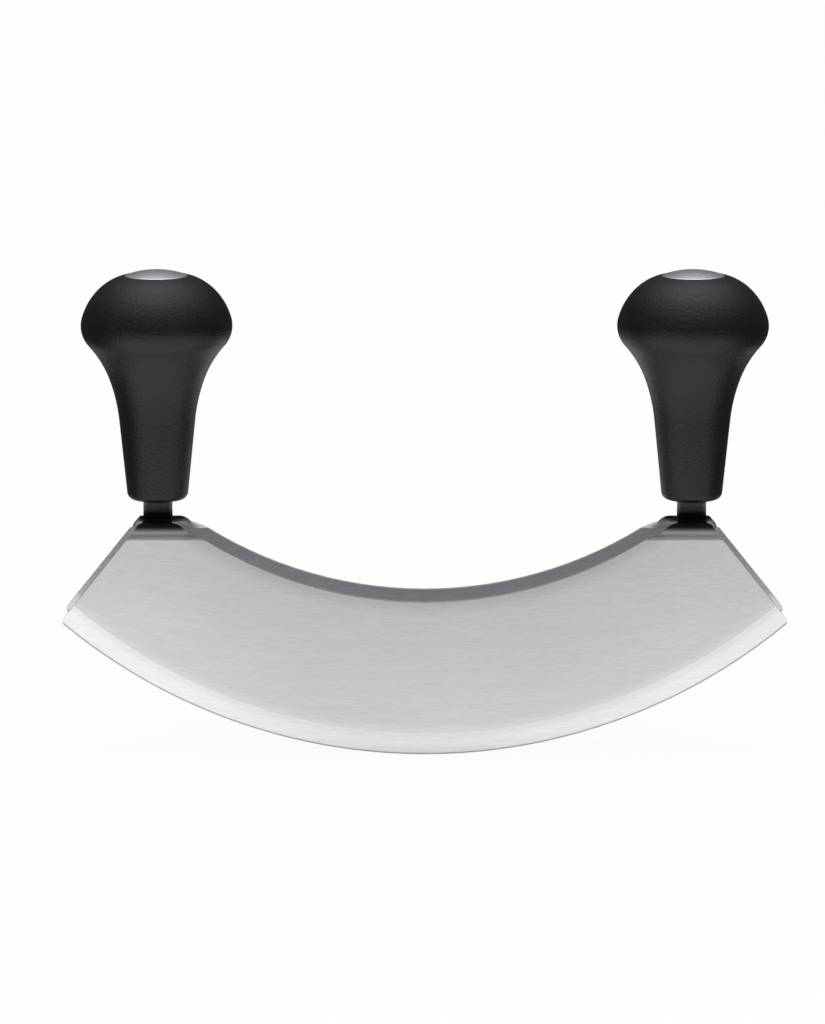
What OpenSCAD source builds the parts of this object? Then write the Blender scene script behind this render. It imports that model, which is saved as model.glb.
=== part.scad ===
// Double-bladed mezzaluna: two curved rocking blades side by side, each a stamped sheet whose two
// necks bend inwards to half-tangs. The paired half-tangs run up through two knob grips and are
// peened over a washer at the bottom of the recess that the domed cap closes.
// X runs along the blades, Y from the front blade to the rear one, Z up from the cutting edges. Millimetres.

/* [Blades] */
// Length of each blade from tip to tip
blade_length = 200.8; // [190:1:240]
// Radius of the cutting edge
edge_radius = 155; // [145:1:190]
// Width of the blade at mid-length, edge to hollow back
blade_width = 43; // [34:1:44]
// Radius of the hollow back
back_radius = 114.5; // [112:1:125]
// Lean of the straight end cuts from upright, in degrees
end_lean = 38.7; // [36:0.5:41]
// Thickness of the stainless sheet
sheet = 1.5; // [1.2:0.1:2]
// Distance between the outer faces of the two blades
blade_spread = 22; // [20:0.5:26]
// Width of the ground bevel along the edge
bevel_width = 6; // [4:0.5:9]
// Thickness left at the cutting edge
edge_thickness = 0.2; // [0.1:0.05:0.4]
// Radius on the two tips of each blade
tip_radius = 1.4; // [0.6:0.1:2]

/* [Necks and tangs] */
// Height at which the necks start to bend inwards
bend_height = 60.5; // [58:0.5:61.5]
// Outer radius of the first bend
first_bend = 3.9; // [2.5:0.1:4.2]
// Inner radius of the second bend, which ends just below the grip
second_bend = 4.2; // [3.6:0.1:4.8]
// Width of the tang where it shows below the grip
tang_width = 8; // [7:0.5:10]
// Width of the tang inside the grip, above its shoulder
tang_core = 6; // [4.5:0.25:6.5]
// Radius on the outer long edges of the tangs
tang_round = 0.9; // [0.3:0.1:1]
// Length of tang that enters the grip before the shoulder
shoulder_depth = 6; // [4:0.5:10]
// How far up its bends a neck has narrowed to the tang's width
neck_reach = 7.2; // [6.4:0.1:8]
// Lean of the neck's outer side, which carries on from the end cut, in degrees
neck_outer_lean = 27.5; // [24:0.5:32]
// Lean of the neck's inner side, in degrees
neck_inner_lean = 40.4; // [36:0.2:43]
// How far up the first bend the hollow back carries on before that side starts
neck_corner = 1.6; // [1:0.1:2.2]
// Radius where the sides of a neck run into the tang
neck_fillet = 2; // [1:0.25:3]

/* [Grips] */
// Distance from the axis of a grip to the end of the blades
grip_inset = 26.2; // [25.4:0.1:27.4]
// Height of the underside of the grips
grip_base = 70.3; // [69.5:0.1:72]
// Radius of the grip at its foot
foot_radius = 8.5; // [8:0.1:10]
// Radius on the lower rim of the foot
foot_round = 2.2; // [1:0.1:2.4]
// Flare of the tapered stem, in degrees from upright
stem_taper = 5.8; // [4:0.1:7]
// Height of the tapered stem
stem_height = 22.3; // [18:0.1:30]
// Radius of the first, long sweep from stem to knob
long_sweep = 46.5; // [40:0.5:55]
// Lean of the side where the long sweep ends, in degrees
long_sweep_end = 20.7; // [18:0.1:24]
// Radius of the second, shorter sweep below the knob
short_sweep = 28.5; // [24:0.5:34]
// Lean of the side where the short sweep ends, in degrees
short_sweep_end = 42.3; // [38:0.1:45]
// Radius round the widest part of the knob
belly_radius = 8.1; // [7:0.1:10]
// Lean of the side, inwards, where the belly ends, in degrees
belly_end = 15.4; // [12:0.1:20]
// Radius of the shoulder above the belly
shoulder_radius = 17.6; // [15:0.1:20]
// Lean of the side, inwards, where the shoulder ends, in degrees
shoulder_end = 48.1; // [44:0.1:52]
// Radius of the crown that runs up to the lip
crown_radius = 15.2; // [13:0.1:17]
// Height of the faint boss round the tang under the grip
boss_height = 0.4; // [0.2:0.1:1]
// Radius of that boss
boss_radius = 5; // [4.8:0.1:6]
// Clearance round the tangs in the slot of the grip
slot_clearance = 0.1; // [0.05:0.01:0.2]

/* [Caps and washers] */
// Diameter of the domed cap
cap_diameter = 17.8; // [16:0.2:18.2]
// Radius of the cap's dome
cap_dome = 25; // [20:1:40]
// Radius on the rim of the cap
cap_round = 0.7; // [0.3:0.05:0.75]
// Thickness of the cap's sheet
cap_sheet = 0.8; // [0.5:0.1:1.2]
// Height of the cap's skirt
cap_skirt = 3; // [2:0.25:4]
// Clearance round the cap in its recess
cap_clearance = 0.05; // [0.02:0.01:0.1]
// Width of the flat lip round the cap
lip_width = 0.45; // [0.25:0.05:1]
// Depth of the cap's rim below the lip
cap_drop = 0; // [0:0.05:0.3]
// Thickness of the washer under the peened tangs
washer_thickness = 1.5; // [1:0.1:2]
// Diameter of the washer
washer_diameter = 13; // [11:0.25:14]
// Height of the peened heads above the washer
head_height = 1.2; // [0.8:0.1:1.5]
// Overhang of the peened heads past the washer's slot
head_overhang = 0.6; // [0.3:0.1:0.9]

/* [Hidden] */
$fn = 96;
// Overlap that keeps joined shapes in one solid, and reach of cutting shapes
lap = 0.4;
reach = 300;
// Gap between the two half-tangs, which lie back to back
tang_gap = 0.02;
// Outlines that meet at a corner pass each other by this much, so that they cross and don't only touch
crossing = 0.03;

// Blade outline. The straight end cuts meet the edge circle at the tips; the corner lies a little
// outside the rounded tip.
tip_x = blade_length / 2 + tip_radius * (cos(end_lean) + sin(end_lean) - 1);
tip_z = edge_radius - sqrt(edge_radius * edge_radius - tip_x * tip_x);
back_centre = blade_width + back_radius;
// Centre of the tip's rounding: in from the end cut and from the edge circle
tip_in = [tip_x - tip_radius * cos(end_lean), tip_z - tip_radius * sin(end_lean)];
tip_along = [-sin(end_lean), cos(end_lean)];
tip_off = tip_in - [0, edge_radius];
tip_b = tip_off * tip_along;
tip_c = tip_off * tip_off - pow(edge_radius + crossing - tip_radius, 2);
tip_centre = tip_in + tip_along * (-tip_b - sqrt(tip_b * tip_b - tip_c));
tip_bearing = atan2(tip_centre[1] - edge_radius, tip_centre[0]);

// Path of the sheet through a neck, from the blade's outer face to the tang's outer face
face_y = blade_spread / 2;
tang_y = sheet + tang_gap / 2;
shelf_top = bend_height + first_bend;
tang_start = shelf_top + second_bend;
chord = [face_y - tang_y, tang_start - bend_height];
chord_length = norm(chord);
chord_lean = atan2(chord[1], chord[0]);
tang_x = blade_length / 2 - grip_inset;
back_corner_x = sqrt(back_radius * back_radius - pow(back_centre - bend_height, 2));

// Side of a neck, as [distance from the tang's edge, distance up the chord of its bends]: from its foot
// points up the straight lean and through a fillet into the tang
function neck_side(foot_points, lean) =
    let (centre = [neck_fillet, neck_reach + neck_fillet * tan(lean / 2)])
    concat(foot_points, [for (i = [0 : 6]) on_arc(centre, neck_fillet, 180 + lean * (1 - i / 6))]);

// Grip profile: tangent arcs from the stem to the lip, as [radius, height]
function on_arc(centre, radius, bearing) = centre + radius * [cos(bearing), sin(bearing)];
stem_end = [foot_radius + (stem_height - foot_round) * tan(stem_taper), grip_base + stem_height];
long_centre = on_arc(stem_end, long_sweep, -stem_taper);
long_end = on_arc(long_centre, long_sweep, 180 - long_sweep_end);
short_centre = on_arc(long_end, short_sweep, -long_sweep_end);
short_end = on_arc(short_centre, short_sweep, 180 - short_sweep_end);
belly_centre = on_arc(short_end, -belly_radius, -short_sweep_end);
belly_top = on_arc(belly_centre, belly_radius, belly_end);
shoulder_centre = on_arc(belly_top, -shoulder_radius, belly_end);
shoulder_top = on_arc(shoulder_centre, shoulder_radius, shoulder_end);
crown_centre = on_arc(shoulder_top, -crown_radius, shoulder_end);
recess_radius = cap_diameter / 2 + cap_clearance;
lip_radius = recess_radius + lip_width;
lip_angle = acos((lip_radius - crown_centre[0]) / crown_radius);
lip_top = on_arc(crown_centre, crown_radius, lip_angle);

// Cap, washer and peened heads, from the lip downwards
cap_radius = cap_diameter / 2;
rim_height = lip_top[1] - cap_drop;
dome_centre = rim_height - sqrt(cap_dome * cap_dome - cap_radius * cap_radius);
recess_floor = rim_height - cap_skirt;
washer_top = recess_floor + washer_thickness;
shoulder_height = grip_base + shoulder_depth;
slot_depth = 2 * (tang_y + slot_clearance);
head_dome = 8;

// Triangle from a corner towards two bearings, which picks a sector out of a circle
module wedge(corner, from, to, length) {
    polygon([
        corner,
        on_arc(corner, length, from),
        on_arc(corner, length, to)
    ]);
}

// Part of a disc between two bearings
module sector(centre, radius, from, to) {
    intersection() {
        translate(centre) circle(r = radius);
        wedge(centre, from, to, 2 * radius);
    }
}

// Front view of a blade without its cutting edge and hollow back. The right-hand half starts below the
// edge circle, rounds the tip and follows the end cut up to the neck.
module blade_outline() {
    cut_top_x = tip_x - (shelf_top - tip_z) * tan(end_lean);
    below_edge = (tip_centre[1] + lap) / sin(-tip_bearing);
    tip_step = (end_lean - tip_bearing) / 8;
    half = [
        on_arc(tip_centre, below_edge, tip_bearing),
        for (i = [0 : 8]) on_arc(tip_centre, tip_radius, tip_bearing + i * tip_step),
        [cut_top_x, shelf_top],
        [cut_top_x, back_centre]
    ];
    polygon(concat(half, [for (i = [len(half) - 1 : -1 : 0]) [-half[i][0], half[i][1]]]));
}

// Flat part of the front blade, ground to the edge from both faces
module blade_flat() {
    intersection() {
        translate([0, sheet / 2 - face_y, edge_radius]) rotate([90, 0, 0]) rotate_extrude() {
            polygon([
                [0, -sheet / 2],
                [edge_radius - bevel_width, -sheet / 2],
                [edge_radius, -edge_thickness / 2],
                [edge_radius, edge_thickness / 2],
                [edge_radius - bevel_width, sheet / 2],
                [0, sheet / 2]
            ]);
        }
        rotate([90, 0, 0]) linear_extrude(height = face_y + lap) {
            difference() {
                blade_outline();
                translate([0, back_centre]) circle(r = back_radius);
                translate([-reach, bend_height]) square([2 * reach, reach]);
            }
        }
    }
}

// Bend of the sheet between two bearings, from its inner to its outer radius
module sheet_bend(centre, inner_radius, from, to) {
    difference() {
        sector(centre, inner_radius + sheet, from, to);
        translate(centre) circle(r = inner_radius);
    }
}

// Side view of the sheet through a neck: back over a shelf, then up. The second bend ends inside the
// start of the tang, just short of upright.
module neck_path() {
    second_centre = [-tang_y - second_bend, tang_start];
    shelf_start = first_bend - face_y;
    translate([-face_y, bend_height - lap]) square([sheet, lap]);
    sheet_bend([shelf_start, bend_height], first_bend - sheet, 90, 180);
    translate([shelf_start, shelf_top - sheet]) square([second_centre[0] - shelf_start, sheet]);
    sheet_bend(second_centre, second_bend, 270, 358);
}

// Width of a neck along the chord of its bends, from the end cut and the hollow back to the tang
module neck_width() {
    end_foot = (neck_reach + lap) * tan(neck_outer_lean);
    back_foot = tang_x - tang_width / 2 - back_corner_x;
    corner = (neck_reach - neck_corner) * tan(neck_inner_lean);
    end_side = neck_side([[end_foot, -lap]], neck_outer_lean);
    back_side = neck_side([[back_foot, -lap], [back_foot, 0], [corner, neck_corner]], neck_inner_lean);
    half = tang_width / 2 - crossing;
    top = chord_length + sheet;
    polygon(concat(
        [for (point = end_side) [half + point[0], point[1]]],
        [[half, top], [-half, top]],
        [for (i = [len(back_side) - 1 : -1 : 0]) [-half - back_side[i][0], back_side[i][1]]]
    ));
}

// Neck of the front blade on its right-hand side
module neck() {
    intersection() {
        translate([tang_x - blade_width, 0, 0]) rotate([90, 0, 90]) {
            linear_extrude(height = 2 * blade_width) neck_path();
        }
        translate([tang_x, -face_y, bend_height]) rotate([chord_lean, 0, 0]) {
            linear_extrude(height = 4 * face_y, center = true) neck_width();
        }
        rotate([90, 0, 0]) linear_extrude(height = face_y + lap) blade_outline();
    }
}

// Section of a half-tang, with its two outer edges rounded
module tang_section(width) {
    round_x = width / 2 - tang_round;
    translate([-round_x, -tang_y]) square([2 * round_x, sheet]);
    translate([-width / 2, tang_round - tang_y]) square([width, sheet - tang_round]);
    sector([round_x, tang_round - tang_y], tang_round, -90, 0);
    sector([-round_x, tang_round - tang_y], tang_round, 180, 270);
}

// Half-tang: the wide part up to its shoulder, the core, and the head peened over the washer
module half_tang() {
    head_x = tang_core / 2 + slot_clearance + head_overhang;
    head_y = tang_y + slot_clearance + head_overhang;
    translate([0, 0, tang_start - lap]) {
        linear_extrude(height = shoulder_height - tang_start + lap) tang_section(tang_width);
    }
    translate([0, 0, shoulder_height - lap]) {
        linear_extrude(height = washer_top - shoulder_height + 2 * lap) tang_section(tang_core);
    }
    intersection() {
        translate([-head_x, -head_y, washer_top]) cube([2 * head_x, head_y - tang_gap / 2, head_height]);
        translate([0, 0, washer_top + head_height - head_dome]) sphere(r = head_dome);
    }
}

module blade() {
    blade_flat();
    for (side = [0, 1]) {
        mirror([side, 0, 0]) {
            neck();
            translate([tang_x, 0, 0]) half_tang();
        }
    }
}

module front_blade() {
    color("silver") blade();
}

module rear_blade() {
    color("silver") mirror([0, 1, 0]) blade();
}

// Half section of a grip, before its slot and recess
module grip_profile() {
    foot_centre = [foot_radius - foot_round, grip_base + foot_round];
    difference() {
        polygon([
            [0, grip_base],
            [foot_centre[0], grip_base],
            [foot_radius, foot_centre[1]],
            stem_end,
            long_end,
            short_end,
            belly_top,
            shoulder_top,
            lip_top,
            [0, lip_top[1]]
        ]);
        sector(long_centre, long_sweep, 180 - long_sweep_end, 180 - stem_taper);
        sector(short_centre, short_sweep, 180 - short_sweep_end, 180 - long_sweep_end);
    }
    translate(foot_centre) circle(r = foot_round);
    sector(belly_centre, belly_radius, -short_sweep_end, belly_end);
    sector(shoulder_centre, shoulder_radius, belly_end, shoulder_end);
    sector(crown_centre, crown_radius, shoulder_end, lip_angle);
    translate([0, grip_base - boss_height]) square([boss_radius, boss_height + lap]);
}

module grip() {
    wide_slot = tang_width + 2 * slot_clearance;
    core_slot = tang_core + 2 * slot_clearance;
    difference() {
        rotate_extrude() grip_profile();
        translate([-wide_slot / 2, -slot_depth / 2, 0]) cube([wide_slot, slot_depth, shoulder_height]);
        translate([-core_slot / 2, -slot_depth / 2, 0]) cube([core_slot, slot_depth, reach]);
        translate([0, 0, recess_floor]) cylinder(r = recess_radius, h = reach);
    }
}

module left_grip() {
    color("dimgray") translate([-tang_x, 0, 0]) grip();
}

module right_grip() {
    color("dimgray") translate([tang_x, 0, 0]) grip();
}

module washer() {
    slot_width = tang_core + 2 * slot_clearance;
    difference() {
        translate([0, 0, recess_floor]) cylinder(d = washer_diameter, h = washer_thickness);
        translate([-slot_width / 2, -slot_depth / 2, 0]) cube([slot_width, slot_depth, reach]);
    }
}

module left_washer() {
    color("gray") translate([-tang_x, 0, 0]) washer();
}

module right_washer() {
    color("gray") translate([tang_x, 0, 0]) washer();
}

// Half section of the cap: a shallow dome with a rounded rim and a skirt that stands on the recess floor
module cap_profile() {
    rim_x = cap_radius - cap_round;
    rim_z = dome_centre + sqrt(pow(cap_dome - cap_round, 2) - rim_x * rim_x);
    difference() {
        intersection() {
            translate([0, dome_centre]) circle(r = cap_dome);
            translate([0, recess_floor]) square([cap_radius, cap_dome]);
        }
        wedge([rim_x, rim_z], 0, atan2(rim_z - dome_centre, rim_x), 4 * cap_round);
        intersection() {
            translate([0, dome_centre]) circle(r = cap_dome - cap_sheet);
            translate([-lap, recess_floor - lap]) square([cap_radius - cap_sheet + lap, cap_dome]);
        }
    }
    translate([rim_x, rim_z]) circle(r = cap_round);
}

module left_cap() {
    color("lightsteelblue") translate([-tang_x, 0, 0]) rotate_extrude() cap_profile();
}

module right_cap() {
    color("lightsteelblue") translate([tang_x, 0, 0]) rotate_extrude() cap_profile();
}

front_blade();
rear_blade();
left_grip();
right_grip();
left_washer();
right_washer();
left_cap();
right_cap();
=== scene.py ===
"""Finishes a double-bladed mezzaluna: ground steel blades, matte black knob grips and satin steel caps."""

import math

import bpy
from bpy.props import FloatProperty, FloatVectorProperty, PointerProperty
from bpy.types import Operator, Panel, PropertyGroup
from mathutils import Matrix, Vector


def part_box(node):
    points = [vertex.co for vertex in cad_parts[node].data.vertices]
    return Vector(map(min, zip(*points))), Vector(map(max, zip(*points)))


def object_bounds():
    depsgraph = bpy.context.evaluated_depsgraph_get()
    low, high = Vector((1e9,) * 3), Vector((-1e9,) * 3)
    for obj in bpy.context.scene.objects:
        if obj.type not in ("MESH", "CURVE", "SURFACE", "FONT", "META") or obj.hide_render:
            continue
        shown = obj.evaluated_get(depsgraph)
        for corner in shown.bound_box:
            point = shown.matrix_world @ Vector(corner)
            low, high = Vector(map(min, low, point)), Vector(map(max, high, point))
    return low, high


bl_info = {
    "name": "Mezzaluna finisher",
    "version": (1, 0, 0),
    "blender": (4, 5, 0),
    "location": "3D View > Sidebar > Mezzaluna",
    "description": "Finishes the blades, grips and caps of a double-bladed mezzaluna and lights them",
    "category": "Object",
}

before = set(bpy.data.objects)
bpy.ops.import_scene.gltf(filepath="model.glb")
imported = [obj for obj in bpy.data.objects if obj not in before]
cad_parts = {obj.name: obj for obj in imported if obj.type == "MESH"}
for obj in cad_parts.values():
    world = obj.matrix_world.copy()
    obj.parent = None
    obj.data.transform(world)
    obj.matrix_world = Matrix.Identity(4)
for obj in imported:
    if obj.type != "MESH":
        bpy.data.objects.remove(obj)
CAD_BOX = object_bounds()

BLADES = ("front_blade", "rear_blade")
GRIPS = ("left_grip", "right_grip")
WASHERS = ("left_washer", "right_washer")
CAPS = ("left_cap", "right_cap")


def box_centre(node):
    """Middle of a CAD node's box."""
    low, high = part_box(node)
    return (Vector(low) + Vector(high)) / 2


GRIP_AXIS_X = box_centre("right_grip").x

# Lengths are in metres here, and a pair of lengths says where a smooth change starts and where it ends.
# Blades: distances from a blade's middle, from the middle plane between the two, and from the hollow back
# TOWARDS_TIP: where the painted highlight towards the tips starts and where it is full
TOWARDS_TIP = (0.03, 0.09)
OUTER_FACE = (0.0101, 0.0105)
BACK_BORDER = (0.0, 0.005)

# Distances inwards from the cutting edge
EDGE_LINE = (0.0006, 0.0002)

# Widths at the bevel's inner border: of its blur, of its ragged line, of the darker start of the bevel,
# and of the painted gleam on the face beside it
BEVEL_BLUR = 0.0018
BEVEL_RAGGEDNESS = 0.0012
BEVEL_DARK_START = 0.0025
BEVEL_GLEAM = 0.003

# Heights above the bend height: starts of the necks, of the tangs' painted shade, of the lighter painted
# shade above their bends and of the painted highlights along their edges, and the rise of the rounded lower
# corners of the necks' zone
NECK = (-0.0001, 0.0004)
TANG = (0.0018, 0.0034)
TANG_ABOVE_BENDS = (0.0058, 0.007)
TANG_EDGE_HIGHLIGHTS = (0.005, 0.008)
CORNER_RISE = 0.0045

# Distances to each side of a neck's middle
CORNER = (0.0068, 0.0105)
TANG_EDGE = (0.0029, 0.0037)

# Brightness of the zones of a blade against their own colour, with painted light on the inner faces, a
# painted gleam beside the bevel, painted highlights towards the tips and painted shade in the tangs' bends,
# and share of the neck's colour in the painted highlights along a tang's edges
INNER_FACE_PAINTED_LIGHT = 1.15
BACK_SHADE = 0.84
PAINTED_GLEAM_SHADE = 1.1
FACE_TIP_PAINTED_HIGHLIGHT = 1.12
BEVEL_START_SHADE = 0.88
BEVEL_TIP_PAINTED_HIGHLIGHT = 1.1
EDGE_LINE_SHADE = 0.45
BEND_PAINTED_SHADE = 0.2
EDGE_HIGHLIGHT_SHARE = 0.6

# Cells of noise per metre: along the grinding lines, across them and through the blades, and in clouds
FINE_LINES = (240.0, 3400.0, 900.0)
BROAD_LINES = (30.0, 500.0, 300.0)
CLOUDS = 45.0

# How far each kind of mark swings the brightness of the steel
FINE_SWING = 0.44
BROAD_SWING = 0.1
CLOUD_SWING = 0.06
NECK_CLOUD_SWING = 0.2

# Lowest and highest roughness over the fine lines, and what each zone adds to it
GROUND_ROUGHNESS = (0.3, 0.46)
BEVEL_ROUGHNESS = -0.08
NECK_ROUGHNESS = 0.14
INNER_FACE_ROUGHNESS = 0.2

# Depth of the fine lines that grinding and spinning leave
LINE_DEPTH = 0.000006

# Grips: patches of noise per metre, swings of brightness, and half the swing of the roughness
GRIP_PATCHES = 140.0
GRAIN_SWING = 0.9
PATCH_SWING = 0.25
PATCH_ROUGHNESS = 0.04

# Caps: cells of noise per radian round the axis and per metre of height, and their marks
CAP_TURN_CELLS = 1.6
CAP_HEIGHT_CELLS = 200.0
RING_SWING = 0.22
CAP_ROUGHNESS = (0.33, 0.47)

# Washers: clouds of noise per metre, and their marks
WASHER_CLOUDS = 600.0
WASHER_SWING = 0.3
WASHER_ROUGHNESS = (0.35, 0.55)
WASHER_DEPTH = 0.00001

# The boards that only reflections see on the floor: distances forward of the mezzaluna's middle plane
# and to each side of its middle, widening per metre forward, brightness of the rear board against the
# front one, and change of brightness per metre to the right
BOARD_NEAR = (-0.03, 0.03)
BOARD_FADE_START = 0.15
BOARD_SIDE = (0.11, 0.26)
REAR_BOARD_FAR = (-0.45, -0.25)
REAR_BOARD_NEAR = (-0.12, -0.05)
BOARD_FLARE = 0.9
REAR_BOARD_SHADE = 0.8
BOARD_TILT = -0.5

# Strength of the white that the camera sees on the floor, and half the floor's width
FLOOR_WHITE = 1.04
FLOOR_HALF_WIDTH = 8.0

# Power with which the room's light gathers towards the ceiling
CEILING_FOCUS = 5.0

# Height of the camera's picture in millimetres
SENSOR_HEIGHT = 36.0


class BladeSettings(PropertyGroup):
    """Where the ground zones of a blade lie, and how its steel looks."""

    edge_radius: FloatProperty(
        name="Edge radius",
        description="Radius of the cutting edge, whose lowest point stands on the floor",
        default=0.155,
        unit="LENGTH",
    )
    bevel_width: FloatProperty(
        name="Bevel width",
        description="Width of the bevel ground along the cutting edge",
        default=0.006,
        unit="LENGTH",
    )
    back_radius: FloatProperty(
        name="Back radius",
        description="Radius of the hollow back",
        default=0.1145,
        unit="LENGTH",
    )
    blade_width: FloatProperty(
        name="Blade width",
        description="Width of the blade at mid-length, from the edge to the hollow back",
        default=0.043,
        unit="LENGTH",
    )
    bend_height: FloatProperty(
        name="Bend height",
        description="Height above which the necks bend inwards and are no longer ground",
        default=0.0605,
        unit="LENGTH",
    )
    grinding_radius: FloatProperty(
        name="Grinding radius",
        description="Radius of the arcs along which the faces were ground",
        default=0.7,
        unit="LENGTH",
    )
    face_colour: FloatVectorProperty(
        name="Face colour",
        description="Colour of the ground faces",
        default=(0.77, 0.775, 0.79),
        subtype="COLOR",
        size=3,
    )
    bevel_colour: FloatVectorProperty(
        name="Bevel colour",
        description="Colour of the finely ground cutting bevel",
        default=(0.84, 0.84, 0.845),
        subtype="COLOR",
        size=3,
    )
    neck_colour: FloatVectorProperty(
        name="Neck colour",
        description="Colour of the pressed necks, which keep the sheet's mill finish",
        default=(0.62, 0.62, 0.63),
        subtype="COLOR",
        size=3,
    )
    # The tangs' dark colour is painted shade, for the shade under the grips and in their bends
    tang_shade_colour: FloatVectorProperty(
        name="Tang colour",
        description="Colour of the tangs, which keep the dark skin of hardening",
        default=(0.17, 0.167, 0.163),
        subtype="COLOR",
        size=3,
    )


class GripSettings(PropertyGroup):
    """How the moulded grips look."""

    colour: FloatVectorProperty(
        name="Plastic colour",
        description="Colour of the moulded plastic",
        default=(0.011, 0.011, 0.0115),
        subtype="COLOR",
        size=3,
    )
    roughness: FloatProperty(
        name="Roughness",
        description="Roughness of the matte moulded skin",
        default=0.4,
        min=0.0,
        max=1.0,
        subtype="FACTOR",
    )
    gloss: FloatProperty(
        name="Gloss",
        description="Strength of the shine, where 0.5 is that of plain plastic",
        default=0.46,
        min=0.0,
        max=1.0,
        subtype="FACTOR",
    )
    grain_size: FloatProperty(
        name="Grain size",
        description="Width of the fine grain that the mould leaves",
        default=0.0006,
        precision=5,
        unit="LENGTH",
    )
    grain_depth: FloatProperty(
        name="Grain depth",
        description="Depth of that grain",
        default=0.00016,
        precision=6,
        unit="LENGTH",
    )


class CapSettings(PropertyGroup):
    """How the caps and washers look."""

    colour: FloatVectorProperty(
        name="Cap colour",
        description="Colour of the satin steel caps",
        default=(0.77, 0.79, 0.87),
        subtype="COLOR",
        size=3,
    )
    washer_colour: FloatVectorProperty(
        name="Washer colour",
        description="Colour of the plain stamped washers",
        default=(0.5, 0.5, 0.5),
        subtype="COLOR",
        size=3,
    )
    spin_pitch: FloatProperty(
        name="Spin mark pitch",
        description="Distance between the fine rings that spinning leaves on a cap",
        default=0.00022,
        precision=5,
        unit="LENGTH",
    )


class StageSettings(PropertyGroup):
    """Camera, floor and room light."""

    camera_distance: FloatProperty(
        name="Camera distance",
        description="How far in front of the mezzaluna's middle plane the camera stands",
        default=1.617,
        unit="LENGTH",
    )
    camera_height: FloatProperty(
        name="Camera height",
        description="Height of the camera above the floor",
        default=0.3343,
        unit="LENGTH",
    )
    camera_side: FloatProperty(
        name="Camera offset",
        description="How far to the left of the mezzaluna's middle the camera stands",
        default=0.0034,
        unit="LENGTH",
    )
    camera_pitch: FloatProperty(
        name="Camera pitch",
        description="How far the camera looks down",
        default=math.radians(9.4),
        subtype="ANGLE",
    )
    lens: FloatProperty(
        name="Focal length",
        description="Focal length in millimetres, for a picture 36 mm tall",
        default=207.2,
    )
    floor_colour: FloatVectorProperty(
        name="Floor colour",
        description="Colour of the floor",
        default=(0.92, 0.92, 0.92),
        subtype="COLOR",
        size=3,
    )
    bounce_colour: FloatVectorProperty(
        name="Bounce colour",
        description="Colour of the light that the floor throws back onto matte surfaces",
        default=(0.5, 0.5, 0.5),
        subtype="COLOR",
        size=3,
    )
    room_colour: FloatVectorProperty(
        name="Room colour",
        description="Colour of the room's light",
        default=(0.98, 0.99, 1.0),
        subtype="COLOR",
        size=3,
    )
    horizon_light: FloatProperty(
        name="Light at the horizon",
        description="Strength of the room's light at the horizon",
        default=0.06,
        min=0.0,
    )
    ceiling_light: FloatProperty(
        name="Light overhead",
        description="Strength of the room's light straight overhead",
        default=2.0,
        min=0.0,
    )
    board_reach: FloatProperty(
        name="Board reach",
        description="How far in front of the mezzaluna the white board has faded in reflections",
        default=1.0,
        unit="LENGTH",
    )
    board_light: FloatProperty(
        name="Board brightness",
        description="Brightness of the board close to the mezzaluna in reflections",
        default=1.03,
        min=0.0,
    )
    far_floor: FloatProperty(
        name="Far floor",
        description="Brightness of the floor beyond the boards in reflections",
        default=0.06,
        min=0.0,
        max=1.0,
        subtype="FACTOR",
    )
    floor_glow: FloatProperty(
        name="Floor whiteness",
        description="Share of plain white in the floor as the camera sees it",
        default=0.88,
        min=0.0,
        max=1.0,
        subtype="FACTOR",
    )


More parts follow.
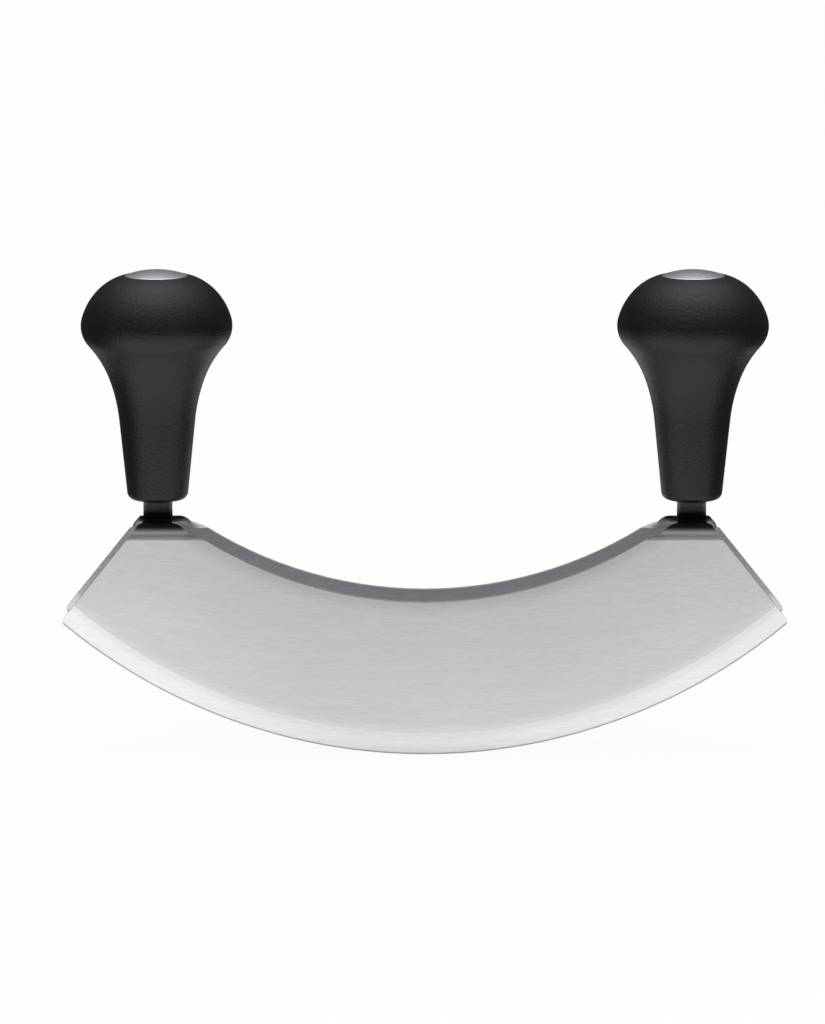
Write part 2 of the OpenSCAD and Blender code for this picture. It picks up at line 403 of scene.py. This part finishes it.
class Graph:
    """A material's or a world's node tree, with short calls for the nodes used here."""

    def __init__(self, owner):
        owner.use_nodes = True
        self.tree = owner.node_tree
        self.tree.nodes.clear()

    def put(self, socket, value):
        """Links a socket to an input, or writes a plain value or colour into it."""
        if isinstance(value, bpy.types.NodeSocket):
            self.tree.links.new(value, socket)
        elif socket.type == "RGBA":
            socket.default_value = (*value, 1.0)
        else:
            socket.default_value = value

    def node(self, kind, inputs=None, **settings):
        """A node of that kind with its settings and inputs."""
        made = self.tree.nodes.new(kind)
        for name, value in settings.items():
            setattr(made, name, value)
        for name, value in (inputs or {}).items():
            self.put(made.inputs[name], value)
        return made

    def math(self, operation, *values):
        """Output of a Math node."""
        made = self.node("ShaderNodeMath", operation=operation)
        for socket, value in zip(made.inputs, values):
            self.put(socket, value)
        return made.outputs[0]

    def product(self, first, *others):
        """Several values multiplied together."""
        result = first
        for value in others:
            result = self.math("MULTIPLY", result, value)
        return result

    def split(self, vector):
        """X, Y and Z outputs of a vector."""
        made = self.node("ShaderNodeSeparateXYZ", {"Vector": vector})
        return made.outputs["X"], made.outputs["Y"], made.outputs["Z"]

    def join(self, x, y, z):
        """Vector output of three values."""
        return self.node("ShaderNodeCombineXYZ", {"X": x, "Y": y, "Z": z}).outputs["Vector"]

    def step(self, value, start, end, low=0.0, high=1.0):
        """Smooth step of a value: low before start, high after end."""
        made = self.node(
            "ShaderNodeMapRange",
            {"Value": value, "From Min": start, "From Max": end, "To Min": low, "To Max": high},
            interpolation_type="SMOOTHSTEP",
        )
        return made.outputs["Result"]

    def noise(self, vector, scale=1.0, detail=3.0, roughness=0.55):
        """Noise from 0 to 1."""
        made = self.node(
            "ShaderNodeTexNoise",
            {"Vector": vector, "Scale": scale, "Detail": detail, "Roughness": roughness},
        )
        return made.outputs["Fac"]

    def spread(self, value, low, high):
        """A value from 0 to 1 turned into one from low to high."""
        return self.math("MULTIPLY_ADD", value, high - low, low)

    def around_one(self, value, swing):
        """A value from 0 to 1 turned into a factor that swings about 1."""
        return self.spread(value, 1.0 - swing / 2, 1.0 + swing / 2)

    def blend(self, factor, first, second):
        """Colour mixed from first to second, through the Mix node's pair of colour sockets."""
        made = self.node("ShaderNodeMix", data_type="RGBA", clamp_factor=True)
        self.put(made.inputs["Factor"], factor)
        self.put(made.inputs[6], first)
        self.put(made.inputs[7], second)
        return made.outputs[2]

    def blend_values(self, factor, first, second):
        """Value mixed from first to second, through the Mix node's pair of value sockets."""
        made = self.node("ShaderNodeMix", data_type="FLOAT")
        self.put(made.inputs[0], factor)
        self.put(made.inputs[2], first)
        self.put(made.inputs[3], second)
        return made.outputs[0]

    def shade(self, colour, factor):
        """Colour times a factor."""
        made = self.node("ShaderNodeVectorMath", operation="SCALE")
        self.put(made.inputs["Vector"], colour)
        self.put(made.inputs["Scale"], factor)
        return made.outputs["Vector"]


def place(graph):
    """X, Y and Z of the surface point in the row frame."""
    return graph.split(graph.node("ShaderNodeTexCoord").outputs["Object"])


def distance(graph, first, second):
    """Length of the hypotenuse over two sides."""
    squares = graph.math(
        "ADD", graph.math("MULTIPLY", first, first), graph.math("MULTIPLY", second, second)
    )
    return graph.math("SQRT", squares)


def distance_from(graph, x, z, centre_z):
    """Distance in the front view from a point on the middle line."""
    return distance(graph, x, graph.math("SUBTRACT", centre_z, z))


def surface(graph, colour, roughness, metallic, height, depth, **fixed):
    """Principled surface with a bump, joined to the material's output."""
    bump = graph.node(
        "ShaderNodeBump", {"Height": height, "Strength": 1.0, "Distance": depth}
    )
    shader = graph.node(
        "ShaderNodeBsdfPrincipled",
        {"Base Color": colour, "Roughness": roughness, "Metallic": metallic,
         "Normal": bump.outputs["Normal"], **fixed},
    )
    graph.node("ShaderNodeOutputMaterial", {"Surface": shader.outputs["BSDF"]})


def streaks(graph, along, across, through, cells_per_metre, **look):
    """Noise drawn out along the grinding lines."""
    cells = [
        graph.math("MULTIPLY", metres, density)
        for metres, density in zip((along, across, through), cells_per_metre)
    ]
    return graph.noise(graph.join(*cells), **look)


def grinding_lines(graph, radius, x, y, z):
    """Fine and broad grinding lines, which run along flat arcs about a centre high above the floor."""
    turn = graph.math("ARCTAN2", x, graph.math("SUBTRACT", radius, z))
    along = graph.math("MULTIPLY", turn, radius)
    across = distance_from(graph, x, z, radius)
    fine = streaks(graph, along, across, y, FINE_LINES, detail=4.0, roughness=0.65)
    broad = streaks(graph, along, across, y, BROAD_LINES, detail=2.0)
    return fine, broad


def cutting_bevel(graph, settings, edge_distance, to_tip, fine):
    """Share of the bevel, with a ragged inner border, and its colour, darker at its start and with a
    painted highlight towards the tips.
    """
    start = settings.edge_radius - settings.bevel_width
    ragged = graph.math("MULTIPLY_ADD", fine, BEVEL_RAGGEDNESS, edge_distance)
    bevel = graph.step(ragged, start, start + BEVEL_BLUR)
    dark_start = graph.step(
        edge_distance, start, start + BEVEL_DARK_START, BEVEL_START_SHADE, 1.0
    )
    # Painted highlight: the bevel brightens towards the tips
    factor = graph.product(dark_start, graph.spread(to_tip, 1.0, BEVEL_TIP_PAINTED_HIGHLIGHT))
    return bevel, graph.shade(settings.bevel_colour, factor)


def ground_face(graph, settings, x, z, edge_distance, to_tip, outer_face):
    """Colour of the faces: outside darker at the hollow back, with a painted gleam beside the bevel and
    painted highlights towards the tips; inside lifted by painted light.
    """
    back_centre_z = settings.blade_width + settings.back_radius
    back_distance = graph.math(
        "SUBTRACT", distance_from(graph, x, z, back_centre_z), settings.back_radius
    )
    bevel_start = settings.edge_radius - settings.bevel_width
    factor = graph.product(
        graph.step(back_distance, *BACK_BORDER, BACK_SHADE, 1.0),
        # Painted gleam on the face beside the bevel
        graph.step(edge_distance, bevel_start - BEVEL_GLEAM, bevel_start, 1.0, PAINTED_GLEAM_SHADE),
        # Painted highlight on the faces towards the tips
        graph.spread(to_tip, 1.0, FACE_TIP_PAINTED_HIGHLIGHT),
    )
    # Painted light: the inner faces are made brighter than their own colour
    inner_painted_light = graph.shade(settings.face_colour, INNER_FACE_PAINTED_LIGHT)
    return graph.blend(outer_face, inner_painted_light, graph.shade(settings.face_colour, factor))


def necks_and_tangs(graph, settings, x, z, outer_face):
    """Share of the unground necks and tangs, and their colour.

    On the outer faces the lower corners of this zone are rounded. The tangs carry painted shade, dark for
    the shade under the grips and darkest in the bends, with painted highlights along their rounded edges.
    """
    from_middle = graph.math(
        "ABSOLUTE", graph.math("SUBTRACT", graph.math("ABSOLUTE", x), GRIP_AXIS_X)
    )
    height = graph.math("SUBTRACT", z, settings.bend_height)
    corner = graph.product(graph.step(from_middle, *CORNER, 0.0, CORNER_RISE), outer_face)
    zone = graph.step(graph.math("SUBTRACT", height, corner), *NECK)

    # Painted shade on the tangs, darkest in the bends and lighter above them
    tang_shade = graph.shade(
        settings.tang_shade_colour, graph.step(height, *TANG_ABOVE_BENDS, BEND_PAINTED_SHADE, 1.0)
    )
    # Painted highlights along the tangs' rounded edges, where the neck's colour shows through the painted
    # shade
    edge_highlights = graph.product(
        graph.step(from_middle, *TANG_EDGE, 0.0, EDGE_HIGHLIGHT_SHARE),
        graph.step(height, *TANG_EDGE_HIGHLIGHTS),
    )
    colour = graph.blend(graph.step(height, *TANG), settings.neck_colour, tang_shade)
    return zone, graph.blend(edge_highlights, colour, settings.neck_colour)


def ground_steel(settings):
    """Stainless sheet ground along the blade, with a brighter bevel and unground necks."""
    material = bpy.data.materials.new("ground_steel")
    graph = Graph(material)
    x, y, z = place(graph)
    fine, broad = grinding_lines(graph, settings.grinding_radius, x, y, z)
    cloud = graph.noise(graph.join(x, y, z), scale=CLOUDS, detail=2.0)

    edge_distance = distance_from(graph, x, z, settings.edge_radius)
    edge_line = graph.step(
        edge_distance, settings.edge_radius - EDGE_LINE[0], settings.edge_radius - EDGE_LINE[1]
    )
    to_tip = graph.step(graph.math("ABSOLUTE", x), *TOWARDS_TIP)
    outer_face = graph.step(graph.math("ABSOLUTE", y), *OUTER_FACE)
    bevel, bevel_colour = cutting_bevel(graph, settings, edge_distance, to_tip, fine)
    neck, neck_colour = necks_and_tangs(graph, settings, x, z, outer_face)

    face = ground_face(graph, settings, x, z, edge_distance, to_tip, outer_face)
    face = graph.blend(bevel, face, bevel_colour)
    face = graph.blend(edge_line, face, graph.shade(face, EDGE_LINE_SHADE))
    marks = graph.product(
        graph.around_one(fine, FINE_SWING),
        graph.around_one(broad, BROAD_SWING),
        graph.around_one(cloud, CLOUD_SWING),
    )
    unground = graph.shade(neck_colour, graph.around_one(cloud, NECK_CLOUD_SWING))
    colour = graph.blend(neck, graph.shade(face, marks), unground)

    # The bevel is smoother than the faces, and the necks and the inner faces are rougher
    roughness = graph.spread(fine, *GROUND_ROUGHNESS)
    roughness = graph.math("MULTIPLY_ADD", bevel, BEVEL_ROUGHNESS, roughness)
    roughness = graph.math("MULTIPLY_ADD", neck, NECK_ROUGHNESS, roughness)
    roughness = graph.math("ADD", roughness, graph.spread(outer_face, INNER_FACE_ROUGHNESS, 0.0))
    height = graph.product(fine, graph.math("SUBTRACT", 1.0, neck))
    surface(graph, colour, roughness, 1.0, height, LINE_DEPTH)
    return material


def moulded_plastic(settings):
    """Matte black plastic with a very fine mould grain."""
    material = bpy.data.materials.new("moulded_plastic")
    graph = Graph(material)
    point = graph.join(*place(graph))
    grain = graph.noise(point, scale=1.0 / settings.grain_size, detail=2.0, roughness=0.6)
    patch = graph.noise(point, scale=GRIP_PATCHES, detail=3.0)
    factor = graph.product(
        graph.around_one(grain, GRAIN_SWING), graph.around_one(patch, PATCH_SWING)
    )
    colour = graph.shade(settings.colour, factor)
    roughness = graph.spread(
        patch, settings.roughness - PATCH_ROUGHNESS, settings.roughness + PATCH_ROUGHNESS
    )
    surface(
        graph, colour, roughness, 0.0, grain, settings.grain_depth,
        **{"Specular IOR Level": settings.gloss},
    )
    return material


def satin_cap(settings):
    """Satin steel with faint rings round the cap's axis."""
    material = bpy.data.materials.new("satin_cap")
    graph = Graph(material)
    x, y, z = place(graph)
    sideways = graph.math("SUBTRACT", graph.math("ABSOLUTE", x), GRIP_AXIS_X)
    radius = distance(graph, sideways, y)
    turn = graph.math("ARCTAN2", y, sideways)
    rings = graph.noise(
        graph.join(
            graph.math("MULTIPLY", turn, CAP_TURN_CELLS),
            graph.math("DIVIDE", radius, settings.spin_pitch),
            graph.math("MULTIPLY", z, CAP_HEIGHT_CELLS),
        ),
        detail=3.0,
    )
    colour = graph.shade(settings.colour, graph.around_one(rings, RING_SWING))
    surface(graph, colour, graph.spread(rings, *CAP_ROUGHNESS), 1.0, rings, LINE_DEPTH)
    return material


def stamped_washer(settings):
    """Plain stamped steel with a dull, slightly cloudy skin."""
    material = bpy.data.materials.new("stamped_washer")
    graph = Graph(material)
    cloud = graph.noise(graph.join(*place(graph)), scale=WASHER_CLOUDS, detail=4.0)
    colour = graph.shade(settings.washer_colour, graph.around_one(cloud, WASHER_SWING))
    roughness = graph.spread(cloud, *WASHER_ROUGHNESS)
    surface(graph, colour, roughness, 1.0, cloud, WASHER_DEPTH)
    return material


def clad(nodes, material):
    """Gives CAD nodes a material in every slot."""
    for name in nodes:
        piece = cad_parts[name]
        if not piece.material_slots:
            piece.data.materials.append(material)
        for slot in piece.material_slots:
            slot.material = material


class MEZZALUNA_OT_blades(Operator):
    """Grind the two blades and leave their necks and tangs dull"""

    bl_idname = "mezzaluna.blades"
    bl_label = "Finish blades"

    def execute(self, context):
        clad(BLADES, ground_steel(context.scene.mezzaluna_blades))
        return {"FINISHED"}


class MEZZALUNA_OT_grips(Operator):
    """Give the grips their moulded skin"""

    bl_idname = "mezzaluna.grips"
    bl_label = "Finish grips"

    def execute(self, context):
        clad(GRIPS, moulded_plastic(context.scene.mezzaluna_grips))
        return {"FINISHED"}


class MEZZALUNA_OT_caps(Operator):
    """Give the caps and washers their steel"""

    bl_idname = "mezzaluna.caps"
    bl_label = "Finish caps and washers"

    def execute(self, context):
        settings = context.scene.mezzaluna_caps
        clad(CAPS, satin_cap(settings))
        clad(WASHERS, stamped_washer(settings))
        return {"FINISHED"}


def seen_directly(graph):
    """1 for what the camera, a reflection or a clear piece sees, and 0 for what only lights."""
    path = graph.node("ShaderNodeLightPath")
    seen = graph.math(
        "ADD", path.outputs["Is Camera Ray"], path.outputs["Is Glossy Ray"]
    )
    return graph.math("MINIMUM", graph.math("ADD", seen, path.outputs["Is Transmission Ray"]), 1.0)


def boards(graph, settings):
    """Brightness of the floor in reflections.

    A white board in front of the mezzaluna widens and fades with distance, and is a little brighter on
    the left. A duller one lies behind.
    """
    x, y, _ = place(graph)
    forward = graph.math("SUBTRACT", 0.0, y)
    front = graph.step(forward, BOARD_FADE_START, settings.board_reach, 1.0, 0.0)
    flare = graph.math("MULTIPLY", graph.math("MAXIMUM", forward, 0.0), BOARD_FLARE)
    outwards = graph.math("SUBTRACT", graph.math("ABSOLUTE", x), flare)
    side = graph.step(outwards, *BOARD_SIDE, 1.0, 0.0)
    rear = graph.product(
        graph.step(forward, *REAR_BOARD_FAR, 0.0, REAR_BOARD_SHADE),
        graph.step(forward, *REAR_BOARD_NEAR, 1.0, 0.0),
    )
    either = graph.math("MAXIMUM", graph.step(forward, *BOARD_NEAR), rear)
    tilt = graph.math("MULTIPLY_ADD", x, BOARD_TILT, 1.0)
    board = graph.product(front, side, either, tilt)
    return graph.spread(board, settings.far_floor, settings.board_light)


def pale_floor(settings):
    """Pale floor that shows near white and keeps the object's shadow."""
    material = bpy.data.materials.new("pale_floor")
    graph = Graph(material)
    seen = seen_directly(graph)
    colour = graph.blend(seen, settings.bounce_colour, settings.floor_colour)
    matte = graph.node("ShaderNodeBsdfDiffuse", {"Color": colour})

    # The camera sees an even white floor, and reflections see the boards
    reflected = graph.node("ShaderNodeLightPath").outputs["Is Glossy Ray"]
    strength = graph.blend_values(reflected, FLOOR_WHITE, boards(graph, settings))
    white = graph.node("ShaderNodeEmission", {"Color": (1.0, 1.0, 1.0), "Strength": strength})
    share = graph.product(seen, graph.math("MAXIMUM", reflected, settings.floor_glow))
    mixed = graph.node("ShaderNodeMixShader")
    graph.put(mixed.inputs[0], share)
    graph.put(mixed.inputs[1], matte.outputs["BSDF"])
    graph.put(mixed.inputs[2], white.outputs["Emission"])
    graph.node("ShaderNodeOutputMaterial", {"Surface": mixed.outputs["Shader"]})
    return material


def add_floor(settings):
    """A wide square floor under the cutting edges."""
    mesh = bpy.data.meshes.new("floor")
    half = FLOOR_HALF_WIDTH
    corners = [(-half, -half, 0.0), (half, -half, 0.0), (half, half, 0.0), (-half, half, 0.0)]
    mesh.from_pydata(corners, [], [(0, 1, 2, 3)])
    floor = bpy.data.objects.new("floor", mesh)
    floor.location.z = CAD_BOX[0][2]
    bpy.context.collection.objects.link(floor)
    mesh.materials.append(pale_floor(settings))


def add_room(scene, settings):
    """Room light that grows from the horizon to the ceiling, mostly close to the ceiling."""
    room = bpy.data.worlds.new("room")
    scene.world = room
    graph = Graph(room)
    up = graph.split(graph.node("ShaderNodeTexCoord").outputs["Generated"])[2]
    ceiling = graph.math("POWER", graph.math("MAXIMUM", up, 0.0), CEILING_FOCUS)
    strength = graph.spread(ceiling, settings.horizon_light, settings.ceiling_light)
    light = graph.node(
        "ShaderNodeBackground", {"Color": settings.room_colour, "Strength": strength}
    )
    graph.node("ShaderNodeOutputWorld", {"Surface": light.outputs["Background"]})


def add_fill(name, place_at, aim_at, width, height, watts):
    """A rectangular lamp that faces a point. It lifts matte surfaces and leaves no reflection of itself."""
    lamp = bpy.data.lights.new(name, "AREA")
    lamp.shape = "RECTANGLE"
    lamp.size = width
    lamp.size_y = height
    lamp.energy = watts
    made = bpy.data.objects.new(name, lamp)
    made.location = place_at
    made.rotation_euler = (Vector(aim_at) - Vector(place_at)).to_track_quat("-Z", "Y").to_euler()
    made.visible_glossy = False
    bpy.context.collection.objects.link(made)


def add_camera(scene, settings):
    """The camera at the photograph's viewing angle."""
    camera = bpy.data.cameras.new("camera")
    camera.sensor_fit = "VERTICAL"
    camera.sensor_height = SENSOR_HEIGHT
    camera.lens = settings.lens
    camera.clip_start = 0.01
    camera.clip_end = 50.0
    stand = bpy.data.objects.new("camera", camera)
    stand.location = (-settings.camera_side, -settings.camera_distance, settings.camera_height)
    stand.rotation_euler = (math.pi / 2 - settings.camera_pitch, 0.0, 0.0)
    bpy.context.collection.objects.link(stand)
    scene.camera = stand


class MEZZALUNA_OT_stage(Operator):
    """Set up the floor, room, lamp and camera"""

    bl_idname = "mezzaluna.stage"
    bl_label = "Set the stage"

    def execute(self, context):
        scene = context.scene
        settings = scene.mezzaluna_stage
        add_floor(settings)
        add_room(scene, settings)
        add_fill(
            "front_fill",
            place_at=(0.15, -2.6, 1.0),
            aim_at=(0.0, 0.0, 0.08),
            width=1.4,
            height=1.0,
            watts=20.0,
        )
        add_camera(scene, settings)
        scene.view_settings.view_transform = "Standard"
        return {"FINISHED"}


class MEZZALUNA_PT_panel(Panel):
    """Buttons in the order in which the mezzaluna is finished"""

    bl_idname = "MEZZALUNA_PT_panel"
    bl_label = "Mezzaluna"
    bl_space_type = "VIEW_3D"
    bl_region_type = "UI"
    bl_category = "Mezzaluna"

    def draw(self, context):
        for operator in OPERATORS:
            self.layout.operator(operator.bl_idname)


SETTINGS = {
    "mezzaluna_blades": BladeSettings,
    "mezzaluna_grips": GripSettings,
    "mezzaluna_caps": CapSettings,
    "mezzaluna_stage": StageSettings,
}
OPERATORS = (
    MEZZALUNA_OT_blades,
    MEZZALUNA_OT_grips,
    MEZZALUNA_OT_caps,
    MEZZALUNA_OT_stage,
)


def register():
    """Registers the settings, operators and panel."""
    for name, group in SETTINGS.items():
        bpy.utils.register_class(group)
        setattr(bpy.types.Scene, name, PointerProperty(type=group))
    for cls in (*OPERATORS, MEZZALUNA_PT_panel):
        bpy.utils.register_class(cls)


def unregister():
    """Takes the settings, operators and panel away again."""
    for cls in (MEZZALUNA_PT_panel, *reversed(OPERATORS)):
        bpy.utils.unregister_class(cls)
    for name, group in SETTINGS.items():
        delattr(bpy.types.Scene, name)
        bpy.utils.unregister_class(group)


def main():
    """Registers the add-on and finishes every piece."""
    register()
    bpy.ops.mezzaluna.blades()
    bpy.ops.mezzaluna.grips()
    bpy.ops.mezzaluna.caps()
    bpy.ops.mezzaluna.stage()


if __name__ == "__main__":
    main()
